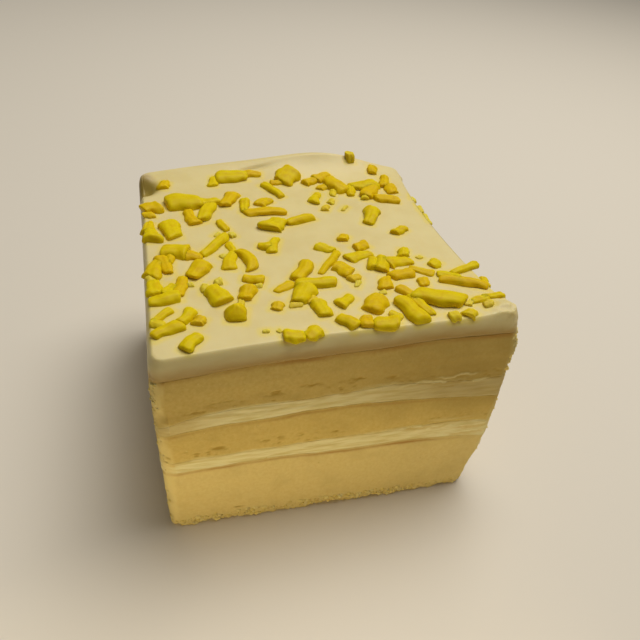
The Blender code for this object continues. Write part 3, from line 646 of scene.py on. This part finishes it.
ICING_COLUMNS = 640
ICING_RINGS = 118
RIM_INSET = 1.15
RIM_DROP = 3.0
RIM_SHARE = 0.75         # the most of the icing's height that the rim takes up
RIM_STEPS = 14
WALL_STEPS = 10
STAIN_HEIGHT = 3.6       # how far up the icing's cut side the brown of the dragged sponge and the painted shade reach
STAIN_REACH = 1.2        # how far the yellow of a shaving spreads
ROUGH_SPOT = (37.2, -35.8, 4.0)     # x, y and reach of the rough top at the front right corner,
LUMPY_SPOT = (38.6, -37.2, 4.0)     # of the lumps on the side there,
MOTTLED_SPOT = (38.0, -36.8, 4.4)   # and of the mottled colour there
TORN_SPOT = (-38.5, -38.5, 2.6)     # of the torn front left corner
BUMP_SPOT = (-35.9, 33.0, 2.1)      # of the bump behind the dent,
GREY_SPOT = (-36.2, 33.2, 2.6)      # and of the greyer colour there
CREASE = (-6.5, 35.6, 5.5, 0.55)    # x, y and reaches of the crease behind the lump
CREASE_SLOPE = 0.12
TAB = (32.0, 51.6, 1.1, 1.2)        # y, height and reaches of the tab on the right side
FRONT_SAG = (-39.0, 22.0)           # x and reach of the sag along the front edge


def icing_surface(x, y):
    """The solids' top with what is too fine for them: spread marks and a fine grain, noise on the
    rough spot and a bell-shaped bump, less the slanting oval crease and a sag along the front edge."""
    marks = 0.06 * top_grain(x, y, 14.0, 5.0, 501, 3)
    fine = 0.02 * top_grain(x, y, 2.2, 2.2, 511, 2)
    rough = near(x, y, ROUGH_SPOT) * (0.8 * top_grain(x, y, 1.5, 1.5, 521, 3) + 0.25)
    crease = 0.8 * oval(x, y - CREASE_SLOPE * (x - CREASE[0]), *CREASE)
    bump = 0.9 * near(x, y, BUMP_SPOT)
    sag = 0.6 * np.exp(-(((x - FRONT_SAG[0]) / FRONT_SAG[1]) ** 2)) * smooth(-33.0, -40.0, y)
    return icing_top(x, y) + marks + fine + rough - crease + bump - sag


def icing_hollow(x, y, height, around):
    """How far the icing's cut side lies inside the outline, with knife marks along it, the tab that
    sticks out near the back right corner, the torn front left corner and the lumpy front right one."""
    swell = ICING_SWELL * (0.5 + 0.5 * grain(around, height, 20.0, 14.0, 401, 3))
    knife = 0.025 * grain(around, height, 6.0, 0.9, 411, 3)
    tab = 0.9 * oval(y, height, *TAB) * (x > 30.0)
    torn = near(x, y, TORN_SPOT) * smooth(-0.1, 0.5, grain(around, height, 1.8, 1.4, 421, 2))
    lumps = near(x, y, LUMPY_SPOT) * smooth(48.8, 50.2, height)
    lumps = lumps * (0.5 * grain(around, height, 1.5, 1.3, 425, 3) - 0.1)
    return swell + knife - tab + 0.2 * torn - lumps


def make_icing(material):
    """The icing: a cut side with faint knife marks, a rim that turns over by a quarter ellipse, and
    the top in rings that shrink to the middle."""
    unit, outward = rounded_square(ICING_COLUMNS)
    around = np.arange(ICING_COLUMNS) / ICING_COLUMNS * PERIMETER
    x, y = outline(unit, HEIGHT)
    low, top = side_borders(around)["icing_floor"], icing_surface(x, y)
    drop = np.minimum(RIM_DROP, RIM_SHARE * (top - low))
    rings = []
    for share in (0.5, 0.96):
        cap_x, cap_y = outline(unit * share, HEIGHT)
        rings.append(stacked(cap_x, cap_y, border("icing_floor", cap_x, cap_y, around)))
    for step in range(WALL_STEPS):
        height = low + (top - drop - low) * step / WALL_STEPS
        hollow = icing_hollow(x, y, height, around) + 0.1 * (1.0 - smooth(0.0, 0.5, height - low))
        rings.append(stacked(*inward(outline(unit, height), outward, hollow), height))
    for step in range(RIM_STEPS):
        turn = 0.5 * math.pi * step / RIM_STEPS
        fall = drop * (1.0 - math.sin(turn))
        inset = RIM_INSET * (1.0 - math.cos(turn)) + icing_hollow(x, y, top - fall, around) * math.cos(turn)
        rim_x, rim_y = inward(outline(unit, top - fall), outward, inset)
        rings.append(stacked(rim_x, rim_y, icing_surface(rim_x, rim_y) - fall))
    for share in np.linspace(1.0 - RIM_INSET / REACH, 0.004, ICING_RINGS):
        top_x, top_y = outline(unit * share, HEIGHT)
        rings.append(stacked(top_x, top_y, icing_surface(top_x, top_y)))
    rings = np.array(rings)
    all_x, all_y, all_z = rings[..., 0], rings[..., 1], rings[..., 2]
    # The dent mask paints dark olive shade into the dent's hollow.
    dent = np.exp(-((from_dent(all_x, all_y - 0.6) / 1.4) ** 2.6)) * smooth(44.5, 47.0, all_z)
    bump = near(all_x, all_y, GREY_SPOT)
    blob = near(all_x, all_y, MOTTLED_SPOT)
    ragged = 0.5 * grain(around, all_z, 5.0, 1.6, 431, 3)
    # Darker low on the icing's cut side: partly sponge dragged up by the knife, partly painted shade.
    dragged = 1.0 - smooth(0.0, STAIN_HEIGHT * (1.0 - 0.35 * blob), all_z - low + ragged)
    stain = stain_mask(all_x, all_y) * smooth(51.0, 52.6, all_z) * (1.0 - smooth(37.0, 37.8, all_y))
    masks = {"dent": dent, "bump": bump, "blob": blob, "stain": stain, "dragged": dragged}
    piece = ring_piece("icing", rings[None], material, masks)
    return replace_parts(piece, "icing_top")


def shaving_rows():
    """Every shaving's x, y, length, width and heading as columns."""
    return np.array([row for drift in DRIFTS.values() for row in drift], float).T


def rim_fall(x, y):
    """How far the rim lies below the icing's top at a place in the plan: the quarter ellipse of the
    rim over the least distance to the four bowed sides, each taken straight across to the side."""
    a, b = np.clip(x / REACH, -1.0, 1.0), np.clip(y / REACH, -1.0, 1.0)
    one = np.ones_like(a)
    right, left = (outline(np.stack([one * end, b], -1), HEIGHT)[0] for end in (1, -1))
    back, front = (outline(np.stack([a, one * end], -1), HEIGHT)[1] for end in (1, -1))
    gap = np.minimum.reduce([right - x, x - left, back - y, y - front])
    short = np.clip(1.0 - gap / RIM_INSET, 0.0, 0.95)
    return RIM_DROP * (1.0 - np.sqrt(1.0 - short**2))


def stain_mask(x, y):
    """How close a point lies to a shaving: the highest of exp(-(d / STAIN_REACH)^2) over all of them."""
    nearest = np.full(x.shape, 1e9)
    for sx, sy, length, width, heading in shaving_rows().T:
        cos, sin = math.cos(math.radians(heading)), math.sin(math.radians(heading))
        along = (x - sx) * cos + (y - sy) * sin
        across = (y - sy) * cos - (x - sx) * sin
        along = np.maximum(np.abs(along) - length / 2, 0.0)
        across = np.maximum(np.abs(across) - width / 2, 0.0)
        nearest = np.minimum(nearest, along**2 + across**2)
    return np.exp(-nearest / STAIN_REACH**2)


# ---- shavings and crumbs ----

TALL_BITS = {    # by place: thickness, and how far the top shrinks
    (-21.2, -29.0): (3.1, 0.60), (22.2, 37.2): (2.8, 0.35),
}
FULL_TURN = 6.3  # the range of a random phase, in radians
CRUMB_SINK = 0.34
LEFT_EDGE = CORNER_MIDDLE * SIDE - SIDE
RIGHT_EDGE = CORNER_MIDDLE * SIDE
CRUMB_BANDS = (  # count, how places are drawn, place along the side, height and size
    (440, "evenly", (0.0, PERIMETER), (0.2, 2.4), (0.5, 1.5)),
    (140, "evenly", (0.0, 0.75 * SIDE), (0.3, 3.2), (0.9, 2.1)),
    (34, "about", (LEFT_EDGE - 0.8, 0.7), (40.0, 49.0), (0.5, 1.2)),
    (40, "about", (LEFT_EDGE - 0.9, 0.7), (2.0, 40.0), (0.5, 1.2)),
    (56, "about", (RIGHT_EDGE + 0.9, 0.8), (38.0, 48.5), (0.9, 2.2)),
    (34, "about", (RIGHT_EDGE + 0.8, 0.8), (12.0, 38.0), (0.5, 1.3)),
    (90, "evenly", (0.0, PERIMETER), (1.5, 46.0), (0.25, 0.5)),
)


def make_shavings(material):
    """All shavings as one piece. Along t from -1 to 1 each is a strip whose section shrinks only at
    its very ends, as (1 - |0.985 t|^p)^0.4, with a larger p the longer it is. The section is a box
    with round upper edges and straight lower walls, with broad waves along it and shallow grooves
    along its top, narrower at the top. Its ends are cut aslant, it bends aside and arches up by
    1 - t^2, and it lies on the icing. A high bit has an oval section and shrinks to its top."""
    x, y, length, width, heading = (row[:, None, None] for row in shaving_rows())
    count, stations, sides = len(x), 21, 28
    draw = np.random.default_rng(61)
    vary = lambda low, high: draw.uniform(low, high, (count, 1, 1))
    here = lambda place_x, place_y: (np.abs(x - place_x) < 0.05) & (np.abs(y - place_y) < 0.05)
    pale = np.maximum(1.0 - smooth(3.0, 6.5, length * width), (x > 34.0) & (y > 0.0))
    width = width * SHAVING_FULLNESS
    thick = SHAVING_THICKNESS * width**THICKNESS_POWER * vary(0.85, 1.15)
    pinch = vary(0.2, 0.4)
    for (bit_x, bit_y), (bit_thick, bit_pinch) in TALL_BITS.items():
        bit = here(bit_x, bit_y)
        thick, pinch = np.where(bit, bit_thick, thick), np.where(bit, bit_pinch, pinch)
    high = pinch > 0.5
    step = np.linspace(-1.0, 1.0, stations)
    t = (np.sign(step) * (1.0 - (1.0 - np.abs(step)) ** 2.2))[None, :, None]
    turn = (np.arange(sides) / sides * 2.0 * np.pi)[None, None, :]
    power = np.where(high, 2.4, np.clip(2.0 + 1.5 * length, 4.0, 16.0))
    ends = (1.0 - (0.985 * np.abs(t)) ** power) ** np.where(high, 0.5, 0.4)
    lump = 1.0 + 0.09 * np.sin(2.3 * t + vary(0, FULL_TURN))
    lump = lump + 0.08 * np.sin(4.6 * t + turn + vary(0, FULL_TURN))
    lump = lump + 0.05 * np.sin(2 * turn + 1.6 * t + vary(0, FULL_TURN))
    lump = lump + 0.04 * np.sin(7.0 * t - 2 * turn + vary(0, FULL_TURN))
    size = ends * (1.0 - vary(-0.25, 0.25) * t) * lump
    edge = np.where(np.sin(turn) < 0.0, 9.0, np.where(high, 2.0, 2.7))
    box = 1.0 / (np.abs(np.cos(turn)) ** edge + np.abs(np.sin(turn)) ** edge) ** (1 / edge)
    across_share = np.cos(turn) * box
    side = across_share * size * 0.5 * width
    up = np.sin(turn) * box * size * 0.5 * thick
    grooves = np.cos(across_share * (2.2 + 1.1 * width) + vary(0, FULL_TURN) + vary(-0.6, 0.6) * t)
    up = up - 0.07 * np.clip(np.sin(turn), 0.0, 1.0) * ends * grooves
    narrow = 1.0 - pinch * np.clip(0.5 + up / thick, 0.0, 1.0) ** 1.5
    slant = vary(-0.45, 0.45) * side + vary(-0.3, 0.3) * up
    along = (0.5 * length * t + slant * np.abs(t) ** 3) * np.where(high, narrow, 1.0)
    side = side * narrow
    roll = vary(-0.09, 0.09) + vary(-0.1, 0.1) * t
    side, up = side * np.cos(roll) - up * np.sin(roll), side * np.sin(roll) + up * np.cos(roll)
    middle = 1.0 - t**2
    bend = np.where(here(*BENT_SHAVING[:2]), BENT_SHAVING[2], vary(-SHAVING_BEND, SHAVING_BEND))
    across = side + bend * length * middle
    cos, sin = np.cos(np.radians(heading)), np.sin(np.radians(heading))
    px = x + along * cos - across * sin
    py = y + along * sin + across * cos
    arch = SHAVING_ARCH * (length > LONG_SHAVING) * middle + vary(-0.04, 0.04) * along
    pz = icing_top(px, py) - rim_fall(x, y) - SHAVING_SINK + 0.5 * thick + arch + up
    masks = {"tone": vary(0.0, 1.0), "pale": pale}
    return ring_piece("shavings", stacked(px, py, pz), material, masks)


def crumb_places():
    """Where crumbs stick: round the foot with more at the front, up both upright edges of the front,
    and thinly all over. Each column is a place along the side, a height and a size, drawn evenly
    between two ends, but places about an edge from a bell of a middle and a spread."""
    draw = np.random.default_rng(83)
    rows = []
    for count, law, place, heights, sizes in CRUMB_BANDS:
        along = draw.normal(*place, count) if law == "about" else draw.uniform(*place, count)
        rows.append(np.array([along, draw.uniform(*heights, count), draw.uniform(*sizes, count)]))
    return np.concatenate(rows, axis=1)


def make_crumbs(material):
    """All crumbs as one piece: small balls over latitude and longitude with waves of dents in them,
    sunk a third of their size into the side."""
    around, height, size = crumb_places()
    around = around % PERIMETER
    hollow = side_hollow(around, height, side_shares(around, height))
    unit, outward = rounded_square(4000)
    index = np.round(around / PERIMETER * len(unit)).astype(int) % len(unit)
    x, y = inward(outline(unit[index], height), outward[index], hollow + CRUMB_SINK * size)
    draw = np.random.default_rng(89)
    count, stations, sides = len(x), 5, 7
    vary = lambda low, high: draw.uniform(low, high, (count, 1, 1))
    t = np.linspace(0.12 * np.pi, 0.88 * np.pi, stations)[None, :, None]
    turn = (np.arange(sides) / sides * 2.0 * np.pi)[None, None, :]
    lump = 1.0 + 0.14 * np.sin(2 * t + turn + vary(0, FULL_TURN))
    lump = lump + 0.1 * np.sin(2 * turn + vary(0, FULL_TURN)) * np.sin(t)
    radius = 0.5 * size[:, None, None] * lump
    px = x[:, None, None] + radius * np.sin(t) * np.cos(turn) * vary(0.8, 1.3)
    py = y[:, None, None] + radius * np.sin(t) * np.sin(turn) * vary(0.8, 1.3)
    pz = height[:, None, None] - radius * np.cos(t) * vary(0.6, 1.0)
    rings = stacked(px, py, np.maximum(pz, 0.0))
    piece = ring_piece("crumbs", rings, material, {"tone": vary(0.0, 1.0)})
    return piece


# ---- materials ----

NOISE_ROUGHNESS = 0.55
SUBSURFACE_SCALE = 0.002    # metres


class Finish:
    """A material and short calls that add nodes to it."""

    def __init__(self, name, roughness, subsurface=0.0, radius=(1.0, 0.6, 0.25)):
        self.material = bpy.data.materials.new(name)
        self.material.use_nodes = True
        self.tree = self.material.node_tree
        self.shader = self.tree.nodes["Principled BSDF"]
        self.shader.inputs["Roughness"].default_value = roughness
        for part, value in (("Weight", subsurface), ("Radius", radius), ("Scale", SUBSURFACE_SCALE)):
            self.shader.inputs["Subsurface " + part].default_value = value
        self.place = self.node("TexCoord").outputs["Object"]

    def node(self, kind, **settings):
        """A new node, its inputs linked or set by name, with an underscore for a space."""
        node = self.tree.nodes.new("ShaderNode" + kind)
        for name, value in settings.items():
            self.socket(node.inputs[name.replace("_", " ")], value)
        return node

    def socket(self, target, value):
        """Link an output to an input, or set the input to a constant."""
        if isinstance(value, bpy.types.NodeSocket):
            self.tree.links.new(value, target)
        elif isinstance(value, tuple) and len(value) == 3 and target.type == "RGBA":
            target.default_value = (*value, 1.0)
        else:
            target.default_value = value

    def noise(self, size, detail=3.0, stretch=(1.0, 1.0, 1.0)):
        """Noise between 0 and 1 with features of a size in millimetres, stretched along an axis."""
        scale = tuple(1.0 / (size * MM * s) for s in stretch)
        mapping = self.node("Mapping", Vector=self.place, Scale=scale)
        texture = self.node("TexNoise", Scale=1.0, Detail=detail, Roughness=NOISE_ROUGHNESS)
        self.tree.links.new(mapping.outputs["Vector"], texture.inputs["Vector"])
        return texture.outputs["Fac"]

    def mask(self, name):
        """A named number at each point of the mesh."""
        attribute = self.node("Attribute")
        attribute.attribute_name = name
        return attribute.outputs["Fac"]

    def window(self, value, low, high, strength=1.0):
        """0 below low and strength above high, smoothly between."""
        step = self.node("MapRange", Value=value, From_Min=low, From_Max=high, To_Max=strength)
        step.interpolation_type = "SMOOTHSTEP"
        return step.outputs["Result"]

    def maths(self, operation, first, second):
        """One arithmetic step."""
        step = self.node("Math")
        step.operation = operation
        self.socket(step.inputs[0], first)
        self.socket(step.inputs[1], second)
        return step.outputs["Value"]

    def blend(self, factor, first, second):
        """From the first colour to the second."""
        mix = self.node("Mix")
        mix.data_type = "RGBA"
        self.socket(mix.inputs[0], factor)
        self.socket(mix.inputs[6], first)
        self.socket(mix.inputs[7], second)
        return mix.outputs[2]

    def finish(self, colour, height, strength, distance):
        """Set the colour, and a bump of a distance in millimetres from a height."""
        self.socket(self.shader.inputs["Base Color"], colour)
        bump = self.node("Bump", Strength=strength, Distance=distance * MM, Height=height)
        self.tree.links.new(bump.outputs["Normal"], self.shader.inputs["Normal"])
        return self.material


def side_finish(name, roughness, light, deep):
    """A cut side of sponge and cream. Sponge is a fine grain of light and deeper crumb with olive
    clouds, and cream is ivory with long streaks. Each point's shares say how much cream, brown skin,
    painted shade in pits, paler upright edge (smeared crumb and cream, and painted light) and olive
    (the crumb's own tone, and painted shade) it has."""
    f = Finish(name, roughness, 0.12)
    sponge = f.blend(f.window(f.noise(0.75, 4.0), 0.1, 0.9), deep, light)
    clouds = f.window(f.noise(6.0, 3.0), 0.48, 0.72, 0.14)
    sponge = f.blend(clouds, sponge, SPONGE_OLIVE_AND_SHADE)
    streaks = f.noise(1.3, 3.0, (6.0, 6.0, 0.7))
    cream = f.blend(f.window(streaks, 0.38, 0.7), CREAM_LIGHT, CREAM_DARK)
    colour = f.blend(f.window(f.mask("cream"), 0.0, 1.0), sponge, cream)
    # The paler upright edges are partly painted light, the olive is partly painted shade, and the pits get
    # painted shade.
    for mask, low, high, strength, shade in (
            ("corner", 0.0, 1.0, 0.6, CRUMB_PALE_AND_LIGHT), ("olive_and_shade", 0.0, 1.0, 0.8, SPONGE_OLIVE_AND_SHADE),
            ("ridge", 0.1, 1.0, 0.42, CREAM_LIGHT), ("skin", 0.0, 1.0, 1.0, SKIN_BROWN),
            ("pit", 0.05, 0.9, 0.75, PIT_SHADE)):
        colour = f.blend(f.window(f.mask(mask), low, high, strength), colour, shade)
    grain_height = f.maths("ADD", f.noise(0.5, 4.0), f.maths("MULTIPLY", f.noise(1.5, 2.0), 0.6))
    dry = f.maths("SUBTRACT", 1.0, f.mask("cream"))
    height = f.maths("ADD", f.maths("MULTIPLY", grain_height, dry), f.maths("MULTIPLY", streaks, 0.3))
    return f.finish(colour, height, 0.28, 0.15)


def icing_finish():
    """Icing: ivory with warm clouds, yellowed round the shavings, brown low on the cut side where the knife
    dragged the sponge over it and painted shade there, dark olive painted shade in the dent, greyer on
    the bump behind it, and mottled on the blob."""
    f = Finish("icing", 0.5, 0.3, (1.0, 0.8, 0.45))
    colour = f.blend(f.window(f.noise(9.0, 3.0), 0.35, 0.7), ICING_LIGHT, ICING_WARM)
    colour = f.blend(f.window(f.mask("stain"), 0.1, 1.0, 0.6), colour, ICING_STAIN)
    colour = f.blend(f.maths("MULTIPLY", f.mask("dragged"), 0.9), colour, ICING_DRAGGED_AND_SHADE)
    colour = f.blend(f.window(f.mask("bump"), 0.1, 0.9, 0.85), colour, ICING_GREY)
    colour = f.blend(f.window(f.mask("dent"), 0.0, 0.8, 0.92), colour, ICING_DENT_SHADE)
    spots = f.window(f.noise(1.8, 3.0), 0.45, 0.75, 0.35)
    colour = f.blend(f.maths("MULTIPLY", f.mask("blob"), spots), colour, SPONGE_OLIVE_AND_SHADE)
    height = f.maths("ADD", f.noise(2.4, 3.0), f.maths("MULTIPLY", f.noise(0.7, 2.0), 0.3))
    return f.finish(colour, height, 0.2, 0.12)


def shaving_finish():
    """Shavings: waxy bright yellow, each more lemon or more gold, with ochre in its grain, and the
    smallest ones paler."""
    f = Finish("yellow shavings", 0.5, 0.45, (0.6, 0.58, 0.1))
    f.shader.inputs["Specular IOR Level"].default_value = 0.12
    colour = f.blend(f.window(f.mask("tone"), 0.1, 0.9), SHAVING_LEMON, SHAVING_GOLD)
    colour = f.blend(f.window(f.noise(1.6, 3.0), 0.42, 0.75, 0.4), colour, SHAVING_OCHRE)
    colour = f.blend(f.maths("MULTIPLY", f.mask("pale"), 0.6), colour, SHAVING_PALE)
    return f.finish(colour, f.noise(0.8, 3.0), 0.25, 0.08)


def crumb_finish():
    """Crumbs: from pale to golden."""
    f = Finish("crumbs", 0.9, 0.4, (0.6, 0.55, 0.3))
    colour = f.blend(f.window(f.mask("tone"), 0.2, 0.9), MIDDLE_SPONGE, CRUMB_PALE_AND_LIGHT)
    colour = f.blend(f.window(f.noise(0.6, 2.0), 0.5, 0.8, 0.4), colour, MIDDLE_SPONGE_DEEP)
    return f.finish(colour, f.noise(0.4, 3.0), 0.2, 0.08)


# ---- studio ----

CAMERA_PLACE = (-38.85, -129.37, 130.14)
CAMERA_HEADING = 18.96     # degrees from +Y towards +X
CAMERA_DROP = 37.08        # degrees below the horizon
CAMERA_ROLL = 6.70
FOCAL_PIXELS = 638.19      # on the photograph's 640 pixels
PHOTO_PIXELS = 640
SENSOR = 36.0


def make_camera():
    """The photograph's camera: where it stood, which way it looked and how it was tilted."""
    heading, drop, roll = (math.radians(v) for v in (CAMERA_HEADING, CAMERA_DROP, CAMERA_ROLL))
    level_share = math.cos(drop)
    forward = Vector((math.sin(heading) * level_share, math.cos(heading) * level_share, -math.sin(drop)))
    level_right = Vector((math.cos(heading), -math.sin(heading), 0.0))
    level_up = level_right.cross(forward)
    right = math.cos(roll) * level_right + math.sin(roll) * level_up
    up = math.cos(roll) * level_up - math.sin(roll) * level_right
    camera = bpy.data.objects.new("camera", bpy.data.cameras.new("camera"))
    bpy.context.scene.collection.objects.link(camera)
    camera.data.sensor_width = SENSOR
    camera.data.lens = SENSOR * FOCAL_PIXELS / PHOTO_PIXELS
    camera.data.clip_start = 0.01
    camera.data.clip_end = 20.0
    turn = Matrix((right, up, -forward)).transposed().to_4x4()
    camera.matrix_world = Matrix.Translation(Vector(CAMERA_PLACE) * MM) @ turn
    bpy.context.scene.camera = camera


def make_floor():
    """A plain pale floor."""
    bpy.ops.mesh.primitive_plane_add(size=6.0, location=(0.0, 0.0, 0.0))
    floor = bpy.context.object
    floor.name = "floor"
    finish = Finish("pale floor", 0.8)
    floor.data.materials.append(finish.finish(FLOOR_COLOUR, finish.noise(40.0), 0.02, 0.2))


def area_light(name, place, aim, size, power, colour, spread=180.0):
    """A soft light of a width and height at a place in metres, turned towards a point."""
    lamp = bpy.data.lights.new(name, "AREA")
    lamp.shape = "RECTANGLE"
    lamp.size, lamp.size_y = size
    lamp.energy = power
    lamp.color = colour
    lamp.spread = math.radians(spread)
    light = bpy.data.objects.new(name, lamp)
    light.location = place
    light.rotation_mode = "QUATERNION"
    light.rotation_quaternion = (Vector(aim) - Vector(place)).to_track_quat("-Z", "Y")
    light.visible_camera = False
    bpy.context.scene.collection.objects.link(light)


def make_lights():
    """A large key from above, behind and to the right, a low warm card before the front, and a pale
    room all round."""
    area_light("key", (0.24, 0.16, 0.85), (0.0, 0.0, 0.04), (0.60, 0.60), 7.6, (1.0, 0.95, 0.85))
    area_light("low card", (-0.024, -0.090, 0.008), (-0.008, -0.039, 0.020), (0.14, 0.012), 0.0092,
               (1.0, 0.81, 0.46), 110.0)
    world = bpy.data.worlds.new("room")
    world.use_nodes = True
    world.node_tree.nodes["Background"].inputs["Color"].default_value = (1.0, 0.95, 0.86, 1.0)
    world.node_tree.nodes["Background"].inputs["Strength"].default_value = 0.12
    bpy.context.scene.world = world
    bpy.context.scene.view_settings.view_transform = "Standard"


def main():
    """Build the studio and the piece's surfaces."""
    make_camera()
    make_floor()
    make_lights()
    make_layers(
        side_finish("bottom sponge crumb", 0.9, BOTTOM_SPONGE, BOTTOM_SPONGE_DEEP),
        side_finish("middle sponge crumb", 0.9, MIDDLE_SPONGE, MIDDLE_SPONGE_DEEP),
        side_finish("top sponge crumb", 0.9, TOP_SPONGE, TOP_SPONGE_DEEP),
        side_finish("lower cream filling", 0.65, MIDDLE_SPONGE, MIDDLE_SPONGE_DEEP),
        side_finish("upper cream filling", 0.65, TOP_SPONGE, TOP_SPONGE_DEEP),
    )
    make_icing(icing_finish())
    make_shavings(shaving_finish())
    make_crumbs(crumb_finish())


main()
